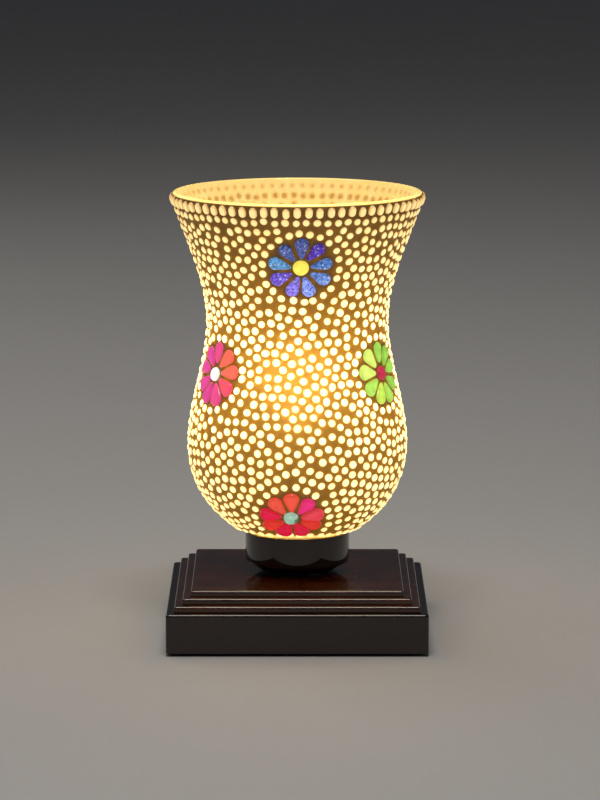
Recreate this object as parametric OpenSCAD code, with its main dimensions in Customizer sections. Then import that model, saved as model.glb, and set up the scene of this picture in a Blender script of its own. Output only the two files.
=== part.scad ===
// Mosaic glass table lamp: a waisted glass shade covered in beads and petal
// flowers, standing in a turned wooden cup on a moulded square base.
// Millimetres, +Z up, origin at the bottom centre of the base, front towards -Y.

/* [Wooden base] */
// Side of the square plinth
plinth_w = 144; // [115:1:175]
// Height of the plinth block
plinth_h = 22; // [20:0.5:28]
// Wall left around the wiring hollow
plinth_wall = 22; // [17:0.5:28]
// Wood left above the wiring hollow
plinth_web = 5; // [4:0.5:7]
// Setback of each moulding step
step_run = 4.5; // [3:0.25:6]
// Height of each moulding step
step_rise = 3.5; // [2.5:0.25:5]
// Number of moulding steps
step_count = 3; // [2:1:4]
// Radius that rounds each step's upper edge
nose_r = 1.4; // [0.5:0.1:2]
// Thickness of the pads under the plinth
foot_t = 1.5; // [1:0.25:3]
// Radius of each pad
foot_r = 7; // [5:0.5:9]
// Thickness of the bottom cover
cover_t = 2.5; // [2:0.25:4]
// Ledge that the bottom cover is screwed to
cover_ledge = 6; // [5:0.5:8]

/* [Turned cup] */
// Outer radius of the cup
cup_r = 29.2; // [24:0.2:36]
// Height of the cup
cup_h = 23; // [19:0.5:28]
// Wall of the cup around the glass neck
cup_wall = 3.1; // [2:0.1:4]
// Wood under the socket
cup_floor = 10; // [8:0.5:12]
// Radius of the foot that stands on the top board
cup_foot_r = 20.4; // [17:0.2:23]
// Height of the foot
cup_foot_h = 1; // [0.5:0.1:2]
// Height of the slope from the foot to the full width
cup_slope_h = 5.3; // [3:0.1:8]

/* [Shade outline] */
// Radius over the beads at the widest part of the belly
belly_r = 61.9; // [51:0.2:75]
// Radius of the curve of the belly, seen in section
belly_round = 55.5; // [46:0.5:67]
// Height of the widest part above the cup
belly_rise = 49; // [42:0.5:55]
// Radius over the beads at the waist
waist_r = 50.8; // [42:0.2:61]
// Height of the waist above the cup
waist_rise = 119; // [99:1:143]
// Radius over the beads at the rim
rim_r = 71.4; // [59:0.2:86]
// Height of the rim above the cup
rim_rise = 189.5; // [158:1:228]
// How far the wall leans out at the rim, radius over height
rim_slope = 0.34; // [0.1:0.02:0.6]
// Thickness of the glass
glass_t = 2.6; // [2:0.1:4]
// Radial gap between the glass neck and the cup's socket
neck_gap = 0.3; // [0.2:0.05:0.5]
// Thickness of the ring that the neck stands on
gasket_t = 1.5; // [1:0.25:3]

/* [Mosaic] */
// Height of the beads over the glass
bead_t = 2.4; // [1.8:0.1:3.2]
// Thickness of the grout between them
grout_t = 1.5; // [1:0.1:2]
// Width of a rim bead
rim_bead_w = 4; // [3:0.1:5]
// Height of a rim bead
rim_bead_h = 5.6; // [4.5:0.1:7]
// Distance from one rim bead to the next
rim_pitch = 6; // [5.5:0.1:8]
// Grout left above the rim beads
rim_margin = 0.8; // [0.4:0.1:2]
// Radius of a whole flower
flower_r = 18; // [15:0.2:19]
// Number of petals on a flower
petal_count = 9; // [7:1:9]
// Width of a petal near its outer end
petal_w = 7.6; // [6:0.1:8.6]
// Width of a petal near the middle of the flower
petal_root_w = 2.2; // [1.4:0.1:3.6]
// Radius of the button in the middle of a flower
centre_r = 4.4; // [3.5:0.1:4.8]
// Distance of the upper flowers below the rim
high_flowers = 34.5; // [29:0.5:42]
// Height of the middle flowers above the cup
mid_flowers = 93; // [88:1:98]
// Height of the lower flowers above the cup
low_flowers = 15; // [14:0.5:19]

/* [Bulb and holder] */
// Outer radius of the lamp holder
holder_r = 14; // [12:0.2:17]
// Height of the tube that carries the holder
spacer_h = 10; // [6:0.5:14]
// Depth of the holder's wiring cap
holder_cap_h = 13; // [11:0.5:16]
// Height of the contact above the bottom of the holder
contact_rise = 32.5; // [28:0.5:38]
// Depth of the screw shell over the contact
shell_depth = 19; // [15:0.5:22]
// Radius of the bulb's globe
globe_r = 22.5; // [18:0.5:23]
// Length of the bulb from its tip to the top of its globe
bulb_len = 78; // [65:1:94]
// Radius of the bulb's screw cap
bulb_cap_r = 6.95; // [5.8:0.05:8.4]
// Radial gap between the bulb's cap and the screw shell
thread_gap = 0.15; // [0.1:0.01:0.3]

/* [Wiring and fastening] */
// Radius of the hollow threaded rod
rod_r = 5; // [4:0.1:6]
// Wall of the hollow threaded rod
rod_wall = 1.25; // [1:0.05:1.5]
// Radial gap around a rod or screw in its hole
bolt_gap = 0.25; // [0.1:0.05:0.5]
// Radius of the cord hole in the bush
cord_r = 3.2; // [2.6:0.1:4]
// Wall of the cord bush
bush_wall = 1.3; // [1:0.1:2]
// Radius of an insulated lead
lead_r = 1; // [0.8:0.1:1.2]
// Radius of a cover screw's shank
screw_r = 1.5; // [1.2:0.1:1.8]

/* [Hidden] */
$fn = 96;
fit_gap = 0.05;
cut = 1;

// heights, from the pads up
plinth_top = foot_t + plinth_h;
board_top = plinth_top + step_count * step_rise;
socket_z = board_top + cup_floor;
cup_top = board_top + cup_h;
neck_z = socket_z + gasket_t;
web_z = plinth_top - plinth_web;
holder_z = socket_z + spacer_h;
insert_z = holder_z + holder_cap_h;
tip_z = holder_z + contact_rise;
shell_top = tip_z + shell_depth;
globe_z = tip_z + bulb_len - globe_r;

// base
hollow_w = plinth_w - 2 * plinth_wall;
cover_w = hollow_w + 2 * cover_ledge;
cover_gap = 0.3;
foot_inset = 11;
screw_len = 9;
screw_head_r = 2 * screw_r;
screw_at = cover_w / 2 - cover_ledge / 2;

// shade, measured over the beads
belly_z = cup_top + belly_rise;
waist_z = cup_top + waist_rise;
rim_z = cup_top + rim_rise;
shade_gap = 0.5;
belly_low_angle = 61;
socket_r = cup_r - cup_wall;
neck_r = socket_r - neck_gap;
neck_top = cup_top + 0.6;
belly_steps = 14;
flare_steps = 12;

// mosaic pieces sit a little above the glass, so their flat backs clear its curve
back_lift = 0.35;
piece_t = bead_t - back_lift;
root_r = petal_root_w / 2;
root_x = centre_r + 0.7 + root_r;
tip_r = petal_w / 2;
tip_x = flower_r - tip_r;
petal_mid = (centre_r + flower_r) / 2;
petal_turn = 360 / petal_count;
petal_arc = 12;
root_arc = 4;
level_turn = 120;
high_turn = 2;
low_turn = -3.5;
mid_turn = 60;
mid_lean = 1.25;

// threaded rod and its hardware
rod_hole_r = rod_r + bolt_gap;
washer_t = 1.5;
washer_r = 2.1 * rod_r;
nut_h = 3;
nut_r = 1.62 * rod_r;
rod_low = web_z - washer_t - nut_h;
cap_floor = 8;
rod_high = holder_z + cap_floor;

// holder
holder_wall = 2;
holder_bore = holder_r - holder_wall;
lip_t = 1.5;
insert_r = holder_bore - 0.1;
shell_r = bulb_cap_r + thread_gap;
shell_wall = 0.4;
seat_z = tip_z - 4.5;
post_r = 1.8;
post_h = 3.5;
post_x = 6.5;
leaf_w = 3;
leaf_l = 8;
leaf_t = 0.4;

// bulb
bulb_glass_t = 0.8;
cap_wall = 0.35;
cap_low = tip_z + 4;
cap_high = tip_z + 23.5;
bulb_neck_r = bulb_cap_r - cap_wall - fit_gap;
tip_disc_r = 2.2;
tip_disc_h = 1.6;
globe_steps = 24;
globe_join = 52;
wire_r = 0.35;
ring_r = 7;
stem_r = 1.8;
stem_top = globe_z - 12;
stem_foot_r = bulb_neck_r - bulb_glass_t - 0.2;
stem_foot_h = 1;
neck_inside = 5;
neck_low = cap_high - neck_inside;
stem_slope_h = neck_inside + 4;

// wiring under the web
lead_drop = 2.5;
run_z = rod_low - lead_drop;
elbow_r = lead_r + 0.15;
lead_x = lead_r + 0.3;
block_y = 18;
block_w = 18;
block_l = 14;
block_drop = 5;
block_low = run_z - block_drop;
wire_bore_r = 1.6;
lead_fan = 10;
term_x = lead_x + block_y * tan(lead_fan);
term_screw_r = 1.5;
bush_z = (foot_t + cover_t + web_z) / 2;
bush_r = cord_r + bush_wall;
bush_flange_r = bush_r + 2;
bush_flange_t = 1.5;

// colours of the glass pieces
blue_tint = "#4a5fd0";
yellow_tint = "#f2d25a";
pink_tint = "#d8508c";
white_tint = "#f4f0e6";
lime_tint = "#b8cc58";
crimson_tint = "#b02030";
red_tint = "#c8202c";
aqua_tint = "#a8d8c0";

// ---- outline of the shade ----

function ease(t) = t * t * (3 - 2 * t);
function clip(t) = min(1, max(0, t));

// radius over the beads at a height: a round belly, a soft waist and a flared rim
function belly_part(z) = belly_r - belly_round * (1 - sqrt(max(0, 1 - pow((belly_z - z) / belly_fall, 2))));
function waist_part(z) = belly_r + (waist_r - belly_r) * ease(clip((z - belly_z) / (waist_z - belly_z)));
function flare_part(t) = waist_r + (rim_r - waist_r) * ease(t)
    + rim_slope * (rim_z - waist_z) * (t * t * t - t * t);
function edge_r(z) = z < belly_z ? belly_part(z)
    : z < waist_z ? waist_part(z)
    : flare_part((z - waist_z) / (rim_z - waist_z));

// the belly's curve ends just over the cup, at this share of its own radius below the middle
belly_fall = (belly_z - cup_top - shade_gap) / sin(belly_low_angle);

// lean of the wall: the angle that it opens outwards going up
function lean(z) = atan((edge_r(z + 0.01) - edge_r(z - 0.01)) / 0.02);

// a point of the outline, moved in by a depth square to the wall
function wall_pt(z, depth) = [edge_r(z) - depth * cos(lean(z)), z + depth * sin(lean(z))];

// heights along the outline, from the cup to the rim
function belly_stops() = [for (i = [0 : belly_steps - 1])
    belly_z - belly_fall * sin(belly_low_angle * (1 - i / belly_steps))];
function flare_stops() = [for (i = [0 : 2 * flare_steps])
    i < flare_steps ? belly_z + (waist_z - belly_z) * i / flare_steps
    : waist_z + (rim_z - waist_z) * (i - flare_steps) / flare_steps];
stops = concat(belly_stops(), flare_stops());
last = len(stops) - 1;

function wall_up(depth) = [for (z = stops) wall_pt(z, depth)];
function wall_down(depth) = [for (i = [last : -1 : 0]) wall_pt(stops[i], depth)];

// ---- placing things on the glass ----

// the glass's outer face, by its height on the outline
function face_pt(z) = wall_pt(z, bead_t);

// height on the outline after going a distance up the wall
function climb(z, s) = z + s * cos(lean(z + s / 2 * cos(lean(z))));

// turn 0 is the front, and it grows towards +X; children lie flat, with their +X pointing
// away from straight down by a spin towards the right
module on_wall(z, turn, spin) {
    p = face_pt(z);
    rotate([0, 0, turn - 90])
        translate([p[0], 0, p[1]])
            rotate([0, 90 + lean(z), 0])
                translate([0, 0, back_lift])
                    rotate([0, 0, 180 - spin])
                        children();
}

// one flower's petals, or the pockets for them when grow is a clearance
module each_petal(z, turn) {
    for (k = [0 : petal_count - 1]) {
        spin = k * petal_turn;
        pz = climb(z, petal_mid * cos(spin));
        side = petal_mid * sin(spin) / face_pt(pz)[0] * 180 / PI;
        on_wall(pz, turn + side, spin - side * sin(lean(z)))
            translate([-petal_mid, 0, 0])
                children();
    }
}

// a teardrop: two circles joined along their common tangents
module petal_outline(grow) {
    small = root_r + grow;
    big = tip_r + grow;
    a = acos(-(big - small) / (tip_x - root_x));
    polygon(concat(
        [for (i = [0 : petal_arc]) let (t = -a + 2 * a * i / petal_arc)
            [tip_x + big * cos(t), big * sin(t)]],
        [for (i = [0 : root_arc]) let (t = a + (360 - 2 * a) * i / root_arc)
            [root_x + small * cos(t), small * sin(t)]]
    ));
}

module petals(z, turn, tint) {
    color(tint)
        each_petal(z, turn)
            linear_extrude(piece_t)
                petal_outline(0);
}

module centre(z, turn, tint) {
    color(tint)
        on_wall(z, turn, 0)
            cylinder(r = centre_r, h = piece_t);
}

// pockets reach from under the grout to over it
module flower_pockets(z, turn) {
    each_petal(z, turn)
        translate([0, 0, -bead_t])
            linear_extrude(3 * bead_t)
                petal_outline(fit_gap);
    on_wall(z, turn, 0)
        translate([0, 0, -bead_t])
            cylinder(r = centre_r + fit_gap, h = 3 * bead_t);
}

// places of the flowers: height and turn
high_z = rim_z - high_flowers;
mid_z = cup_top + mid_flowers;
low_z = cup_top + low_flowers;
high_turns = [high_turn, high_turn + level_turn, high_turn - level_turn];
mid_turns = [mid_turn, mid_turn + level_turn + mid_lean, mid_turn + 2 * level_turn + 2 * mid_lean];
low_turns = [low_turn, low_turn + level_turn, low_turn - level_turn];

// the rim row
rim_row_z = rim_z - (rim_margin + rim_bead_h / 2) * cos(lean(rim_z));
rim_bead_count = floor(2 * PI * face_pt(rim_row_z)[0] / rim_pitch);

module rim_bead_outline(grow) {
    r = rim_bead_w / 2 + grow;
    reach = rim_bead_h / 2 - rim_bead_w / 2;
    for (s = [-1, 1])
        translate([s * reach, 0])
            circle(r = r);
    square([2 * reach, 2 * r], center = true);
}

module each_rim_bead() {
    for (i = [0 : rim_bead_count - 1])
        on_wall(rim_row_z, i * 360 / rim_bead_count, 0)
            children();
}

// ---- shade ----

module shade_glass() {
    outer = wall_up(bead_t);
    inner = wall_down(bead_t + glass_t);
    foot = [[neck_r, neck_z], [neck_r, neck_top]];
    bore = [[neck_r - glass_t, neck_top + glass_t * 0.9], [neck_r - glass_t, neck_z]];
    color([1, 0.93, 0.72, 0.5])
        rotate_extrude()
            polygon(concat(foot, outer, inner, bore));
}

module mosaic_bed() {
    color("#8a5a1c")
        difference() {
            rotate_extrude()
                polygon(concat(wall_up(bead_t - grout_t), wall_down(bead_t)));
            for (t = high_turns)
                flower_pockets(high_z, t);
            for (t = mid_turns)
                flower_pockets(mid_z, t);
            for (t = low_turns)
                flower_pockets(low_z, t);
            each_rim_bead()
                translate([0, 0, -bead_t])
                    linear_extrude(3 * bead_t)
                        rim_bead_outline(fit_gap);
        }
}

module rim_beads() {
    color("#f6e2a0")
        each_rim_bead()
            linear_extrude(piece_t)
                rim_bead_outline(0);
}

module neck_gasket() {
    color("#4a3a2a")
        translate([0, 0, socket_z])
            difference() {
                cylinder(r = socket_r - fit_gap, h = gasket_t);
                translate([0, 0, -cut])
                    cylinder(r = neck_r - 2 * glass_t, h = gasket_t + 2 * cut);
            }
}

// ---- wooden base ----

// half outline of a step's end, rounded at its upper edge
module step_outline(half, low, rise) {
    r = min(nose_r, rise * 0.6);
    translate([-half, low])
        square([2 * half, rise - r]);
    translate([-half + r, low])
        square([2 * (half - r), rise]);
    for (s = [-1, 1])
        translate([s * (half - r), low + rise - r])
            circle(r = r);
}

module board_outline() {
    for (k = [0 : step_count - 1])
        step_outline(plinth_w / 2 - (k + 1) * step_run, plinth_top + k * step_rise, step_rise);
}

// a square board whose four edges all have the same section, mitred at the corners
module moulded(length) {
    intersection() {
        rotate([90, 0, 0])
            linear_extrude(length, center = true)
                children();
        rotate([90, 0, 90])
            linear_extrude(length, center = true)
                children();
    }
}

module square_prism(side, low, high) {
    translate([-side / 2, -side / 2, low])
        cube([side, side, high - low]);
}

module at_corners(reach) {
    for (x = [-1, 1])
        for (y = [-1, 1])
            translate([x * reach, y * reach, 0])
                children();
}

module plinth() {
    color("#2a120b")
        difference() {
            moulded(plinth_w)
                step_outline(plinth_w / 2, foot_t, plinth_h);
            square_prism(hollow_w, foot_t - cut, web_z);
            square_prism(cover_w, foot_t - cut, foot_t + cover_t);
            cylinder(r = rod_hole_r, h = plinth_top + cut);
            at_corners(screw_at)
                cylinder(r = screw_r + fit_gap, h = foot_t + screw_len + 2);
            translate([0, block_y + block_l / 2, web_z - cut])
                cylinder(r = screw_r + fit_gap, h = plinth_web * 0.7 + cut);
            translate([0, 0, bush_z])
                rotate([-90, 0, 0])
                    cylinder(r = bush_r + fit_gap, h = plinth_w);
        }
}

module top_board() {
    color("#3a1a0e")
        difference() {
            moulded(plinth_w)
                board_outline();
            translate([0, 0, plinth_top - cut])
                cylinder(r = rod_hole_r, h = board_top);
        }
}

module shade_cup() {
    color("#241008")
        difference() {
            rotate_extrude()
                polygon([
                    [0, board_top],
                    [cup_foot_r, board_top],
                    [cup_foot_r, board_top + cup_foot_h],
                    [cup_r, board_top + cup_foot_h + cup_slope_h],
                    [cup_r, cup_top],
                    [socket_r, cup_top],
                    [socket_r, socket_z],
                    [0, socket_z]
                ]);
            translate([0, 0, board_top - cut])
                cylinder(r = rod_hole_r, h = cup_floor + 2 * cut);
        }
}

module screw_body(shank, head, length) {
    cylinder(r1 = head, r2 = shank, h = head - shank);
    cylinder(r = shank, h = length);
}

module bottom_cover() {
    color("#5b4632")
        difference() {
            square_prism(cover_w - 2 * cover_gap, foot_t, foot_t + cover_t);
            at_corners(screw_at)
                translate([0, 0, foot_t - cut]) {
                    cylinder(r = screw_r + bolt_gap, h = cover_t + 2 * cut);
                    cylinder(r = screw_head_r + fit_gap, h = cut);
                    translate([0, 0, cut])
                        screw_body(screw_r + fit_gap, screw_head_r + fit_gap, cover_t);
                }
        }
}

module cover_screws() {
    color("silver")
        at_corners(screw_at)
            translate([0, 0, foot_t])
                screw_body(screw_r, screw_head_r, screw_len);
}

module feet() {
    color("#26221f")
        at_corners(plinth_w / 2 - foot_inset)
            cylinder(r = foot_r, h = foot_t);
}

module cord_bush() {
    color("#161616")
        translate([0, 0, bush_z])
            rotate([-90, 0, 0])
                difference() {
                    union() {
                        translate([0, 0, hollow_w / 2])
                            cylinder(r = bush_r, h = plinth_wall);
                        translate([0, 0, plinth_w / 2])
                            cylinder(r = bush_flange_r, h = bush_flange_t);
                    }
                    cylinder(r = cord_r, h = plinth_w);
                }
}

// ---- threaded rod and holder ----

module tube(r, bore, low, high) {
    translate([0, 0, low])
        difference() {
            cylinder(r = r, h = high - low);
            translate([0, 0, -cut])
                cylinder(r = bore, h = high - low + 2 * cut);
        }
}

module threaded_rod() {
    color("goldenrod")
        tube(rod_r, rod_r - rod_wall, rod_low, rod_high);
}

module rod_nut() {
    color("silver")
        translate([0, 0, rod_low])
            difference() {
                cylinder(r = nut_r, h = nut_h, $fn = 6);
                translate([0, 0, -cut])
                    cylinder(r = rod_r + fit_gap, h = nut_h + 2 * cut);
            }
}

module rod_washer() {
    color("silver")
        tube(washer_r, rod_hole_r, web_z - washer_t, web_z);
}

module holder_spacer() {
    color("goldenrod")
        tube(rod_r + 3, rod_r + fit_gap, socket_z, holder_z);
}

module holder_cap() {
    color("#1d1b1a")
        difference() {
            translate([0, 0, holder_z])
                cylinder(r = holder_r, h = holder_cap_h);
            translate([0, 0, holder_z - cut])
                cylinder(r = rod_r + fit_gap, h = holder_cap_h);
            translate([0, 0, rod_high])
                cylinder(r = holder_bore, h = holder_cap_h);
        }
}

module holder_body() {
    color("#1d1b1a")
        rotate_extrude()
            polygon([
                [holder_bore, insert_z],
                [holder_r, insert_z],
                [holder_r, shell_top],
                [holder_r - lip_t, shell_top + lip_t],
                [shell_r + 1, shell_top + lip_t],
                [shell_r + 1, shell_top],
                [holder_bore, shell_top]
            ]);
}

module holder_insert() {
    color("#e6e0d2")
        difference() {
            translate([0, 0, insert_z])
                cylinder(r = insert_r, h = shell_top - insert_z - fit_gap);
            translate([0, 0, seat_z])
                cylinder(r = shell_r + shell_wall + fit_gap, h = shell_top);
        }
}

module screw_shell() {
    color("goldenrod")
        tube(shell_r + shell_wall, shell_r, seat_z, shell_top - 1);
}

// a low post with a bent leaf that presses up on the bulb's tip
module centre_contact() {
    color("goldenrod") {
        translate([-leaf_w / 2, -leaf_w / 2, seat_z])
            cube([leaf_w, leaf_w, tip_z - seat_z - fit_gap]);
        translate([-leaf_w / 2, -leaf_l / 2, tip_z - leaf_t - fit_gap])
            cube([leaf_w, leaf_l, leaf_t]);
    }
}

module holder_terminals() {
    color("goldenrod")
        for (s = [-1, 1])
            translate([s * post_x, 0, insert_z - post_h])
                cylinder(r = post_r, h = post_h);
}

// ---- wiring ----

// one insulated lead: from the terminal block, up through the rod, to a holder terminal
module lead(side) {
    top = insert_z - post_h / 2;
    translate([side * lead_x, 0, 0]) {
        translate([0, 0, run_z])
            cylinder(r = lead_r, h = top - run_z);
        translate([0, 0, top])
            sphere(r = elbow_r);
        translate([0, 0, run_z])
            sphere(r = elbow_r);
        translate([0, 0, top])
            rotate([0, side * 90, 0])
                cylinder(r = lead_r, h = post_x - post_r - lead_x);
        translate([0, 0, run_z])
            rotate([-90, 0, -side * lead_fan])
                cylinder(r = lead_r, h = block_y / cos(lead_fan) - 0.3);
    }
}

module live_lead() {
    color("#6b3a1c")
        lead(1);
}

module neutral_lead() {
    color("#2a55a8")
        lead(-1);
}

module terminal_block() {
    color("#e9e4d8")
        difference() {
            translate([-block_w / 2, block_y, block_low])
                cube([block_w, block_l, web_z - block_low]);
            for (s = [-1, 1]) {
                translate([s * term_x, block_y - cut, run_z])
                    rotate([-90, 0, 0])
                        cylinder(r = wire_bore_r, h = block_l + 2 * cut);
                translate([s * term_x, block_y + block_l / 2, block_low - cut])
                    cylinder(r = term_screw_r + fit_gap, h = run_z - block_low);
            }
            translate([0, block_y + block_l / 2, block_low - cut])
                cylinder(r = screw_r + fit_gap, h = web_z);
        }
}

module block_screws() {
    color("silver") {
        for (s = [-1, 1])
            translate([s * term_x, block_y + block_l / 2, block_low])
                cylinder(r = term_screw_r, h = run_z - block_low - wire_bore_r);
        translate([0, block_y + block_l / 2, block_low])
            cylinder(r = screw_r, h = web_z - block_low + plinth_web * 0.6);
    }
}

// ---- bulb ----

module bulb_tip() {
    color("silver")
        translate([0, 0, tip_z])
            cylinder(r = tip_disc_r, h = tip_disc_h);
}

module bulb_insulator() {
    color("#101010")
        rotate_extrude()
            polygon([
                [0, tip_z + tip_disc_h],
                [tip_disc_r + 0.6, tip_z + tip_disc_h],
                [bulb_neck_r, cap_low],
                [bulb_neck_r, cap_low + 1.5],
                [0, cap_low + 1.5]
            ]);
}

module bulb_cap() {
    color("silver")
        tube(bulb_cap_r, bulb_cap_r - cap_wall, cap_low, cap_high);
}

// from the end of the neck to the top of the globe
function globe_arc(r) = [for (i = [0 : globe_steps])
    let (a = globe_join + (180 - globe_join) * i / globe_steps)
    [r * sin(a), globe_z - r * cos(a)]];
function turned_back(pts) = [for (i = [len(pts) - 1 : -1 : 0]) pts[i]];

module bulb_glass() {
    inner_r = bulb_neck_r - bulb_glass_t;
    color([1, 0.97, 0.86, 0.6])
        rotate_extrude()
            polygon(concat(
                [[inner_r, neck_low], [bulb_neck_r, neck_low], [bulb_neck_r, cap_high]],
                globe_arc(globe_r),
                turned_back(globe_arc(globe_r - bulb_glass_t)),
                [[inner_r, cap_high]]
            ));
}

module bulb_stem() {
    color([0.9, 0.95, 0.95, 0.5])
        rotate_extrude()
            polygon([
                [0, neck_low],
                [stem_foot_r, neck_low],
                [stem_foot_r, neck_low + stem_foot_h],
                [stem_r, neck_low + stem_slope_h],
                [stem_r, stem_top],
                [0, stem_top]
            ]);
}

// two support wires, two arms and a ring of filament
module bulb_filament() {
    color("orange") {
        for (s = [-1, 1]) {
            translate([s * stem_r / 2, 0, stem_top])
                cylinder(r = wire_r, h = globe_z - stem_top);
            translate([s * stem_r / 2, 0, globe_z])
                rotate([0, s * 90, 0])
                    cylinder(r = wire_r, h = ring_r - stem_r / 2);
        }
        translate([0, 0, globe_z])
            rotate_extrude()
                translate([ring_r, 0])
                    circle(r = wire_r);
    }
}

plinth();
top_board();
shade_cup();
bottom_cover();
cover_screws();
feet();
cord_bush();
threaded_rod();
rod_nut();
rod_washer();
holder_spacer();
holder_cap();
holder_body();
holder_insert();
screw_shell();
centre_contact();
holder_terminals();
live_lead();
neutral_lead();
terminal_block();
block_screws();
neck_gasket();
bulb_tip();
bulb_insulator();
bulb_cap();
bulb_stem();
bulb_filament();
bulb_glass();
shade_glass();
mosaic_bed();
rim_beads();
petals(high_z, high_turns[0], blue_tint);  // petals_high_front
petals(high_z, high_turns[1], pink_tint);  // petals_high_right
petals(high_z, high_turns[2], lime_tint);  // petals_high_left
petals(mid_z, mid_turns[0], lime_tint);  // petals_mid_right
petals(mid_z, mid_turns[1], blue_tint);  // petals_mid_rear
petals(mid_z, mid_turns[2], pink_tint);  // petals_mid_left
petals(low_z, low_turns[0], red_tint);  // petals_low_front
petals(low_z, low_turns[1], blue_tint);  // petals_low_right
petals(low_z, low_turns[2], lime_tint);  // petals_low_left
centre(high_z, high_turns[0], yellow_tint);  // centre_high_front
centre(high_z, high_turns[1], white_tint);  // centre_high_right
centre(high_z, high_turns[2], crimson_tint);  // centre_high_left
centre(mid_z, mid_turns[0], crimson_tint);  // centre_mid_right
centre(mid_z, mid_turns[1], yellow_tint);  // centre_mid_rear
centre(mid_z, mid_turns[2], white_tint);  // centre_mid_left
centre(low_z, low_turns[0], aqua_tint);  // centre_low_front
centre(low_z, low_turns[1], yellow_tint);  // centre_low_right
centre(low_z, low_turns[2], crimson_tint);  // centre_low_left
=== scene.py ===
import math
import bpy
import bmesh
import numpy as np
from mathutils import Vector, Matrix
from mathutils.bvhtree import BVHTree
from mathutils.kdtree import KDTree


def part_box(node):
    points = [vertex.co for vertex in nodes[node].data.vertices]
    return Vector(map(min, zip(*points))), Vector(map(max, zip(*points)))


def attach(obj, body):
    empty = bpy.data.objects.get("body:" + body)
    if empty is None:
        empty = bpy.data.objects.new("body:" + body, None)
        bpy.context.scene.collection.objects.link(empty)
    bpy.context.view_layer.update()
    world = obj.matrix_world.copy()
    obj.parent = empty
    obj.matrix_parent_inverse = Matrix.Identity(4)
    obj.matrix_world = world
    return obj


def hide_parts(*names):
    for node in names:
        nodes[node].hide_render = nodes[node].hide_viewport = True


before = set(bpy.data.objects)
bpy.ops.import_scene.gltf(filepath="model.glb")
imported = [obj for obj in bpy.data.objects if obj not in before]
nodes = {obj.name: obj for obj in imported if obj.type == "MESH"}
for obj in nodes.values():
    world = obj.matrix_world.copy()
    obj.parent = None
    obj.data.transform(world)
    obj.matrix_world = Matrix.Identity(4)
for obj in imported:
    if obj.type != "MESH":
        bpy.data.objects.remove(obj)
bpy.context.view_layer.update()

scene = bpy.context.scene
mm = 0.001

# mesh helpers


def newPiece(name, verts, faces, smoothAngle=None):
    mesh = bpy.data.meshes.new(name)
    mesh.from_pydata([tuple(v) for v in verts], [], [tuple(f) for f in faces])
    mesh.validate()
    piece = bpy.data.objects.new(name, mesh)
    scene.collection.objects.link(piece)
    mesh.polygons.foreach_set("use_smooth", [True] * len(mesh.polygons))
    if smoothAngle is not None:
        mesh.set_sharp_from_angle(angle=math.radians(smoothAngle))
    return piece


def storeFloats(piece, name, values):
    layer = piece.data.attributes.new(name, "FLOAT", "POINT")
    layer.data.foreach_set("value", np.asarray(values, np.float32))


def fromScreen(colour):
    return tuple((c / 255 / 12.92 if c < 11 else ((c / 255 + 0.055) / 1.055) ** 2.4) for c in colour)


def storeColours(piece, name, colours):
    layer = piece.data.attributes.new(name, "FLOAT_COLOR", "POINT")
    layer.data.foreach_set("color", np.array([(*c, 1) for c in colours], np.float32).ravel())


# a path of (r, z, fillet) corners becomes a smooth polyline with rounded corners
def filletPath(corners, steps=6):
    path = []
    last = len(corners) - 1
    for i, (r, z, fillet) in enumerate(corners):
        here = Vector((r, z))
        if fillet <= 0 or i in (0, last):
            path.append(here)
            continue
        a = (Vector(corners[i - 1][:2]) - here).normalized()
        b = (Vector(corners[i + 1][:2]) - here).normalized()
        half = a.angle(b) / 2
        reach = fillet / math.tan(half)
        centre = here + (a + b).normalized() * (fillet / math.sin(half))
        start = here + a * reach - centre
        sweep = (here + b * reach - centre).angle(start)
        turn = 1 if start.x * (b.y - a.y) - start.y * (b.x - a.x) > 0 else -1
        for k in range(steps + 1):
            t = turn * sweep * k / steps
            c, s = math.cos(t), math.sin(t)
            path.append(centre + Vector((start.x * c - start.y * s, start.x * s + start.y * c)))
    return path


# turns an (r, z) path round the axis; points on the axis become one pole
def lathe(name, path, around, smoothAngle=None):
    verts, rings, faces = [], [], []
    angles = [2 * math.pi * k / around for k in range(around)]
    for r, z in path:
        if r < 1e-7:
            rings.append([len(verts)] * around)
            verts.append((0, 0, z))
            continue
        rings.append(list(range(len(verts), len(verts) + around)))
        verts += [(r * math.cos(a), r * math.sin(a), z) for a in angles]
    for low, high in zip(rings, rings[1:]):
        for k in range(around):
            n = (k + 1) % around
            face = [low[k], low[n], high[n], high[k]]
            face = [v for i, v in enumerate(face) if v not in face[:i]]
            if len(face) > 2:
                faces.append(face)
    return newPiece(name, verts, faces, smoothAngle)


# a square section swept round the base: (half width, z) points, with a small radius on the corners
def squareSweep(name, path, cornerR, steps=5, smoothAngle=35):
    verts, faces = [], []
    count = 4 * (steps + 1)
    for half, z in path:
        r = min(cornerR, half * 0.5)
        for q in range(4):
            cx = (half - r) * (1 if q in (0, 3) else -1)
            cy = (half - r) * (1 if q in (0, 1) else -1)
            for k in range(steps + 1):
                a = math.pi / 2 * (q + k / steps)
                verts.append((cx + r * math.cos(a), cy + r * math.sin(a), z))
    for i in range(len(path) - 1):
        for k in range(count):
            n = (k + 1) % count
            faces.append((i * count + k, i * count + n, (i + 1) * count + n, (i + 1) * count + k))
    faces.append(tuple(reversed(range(count))))
    faces.append(tuple(range((len(path) - 1) * count, len(path) * count)))
    piece = newPiece(name, verts, faces, smoothAngle)
    weigh = piece.modifiers.new("evenNormals", "WEIGHTED_NORMAL")
    weigh.keep_sharp = True
    return piece


def finishPiece(piece, material, body, slot, *replaced):
    piece.data.materials.clear()
    piece.data.materials.append(material)
    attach(piece, body)
    if replaced:
        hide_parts(*replaced)


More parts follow.
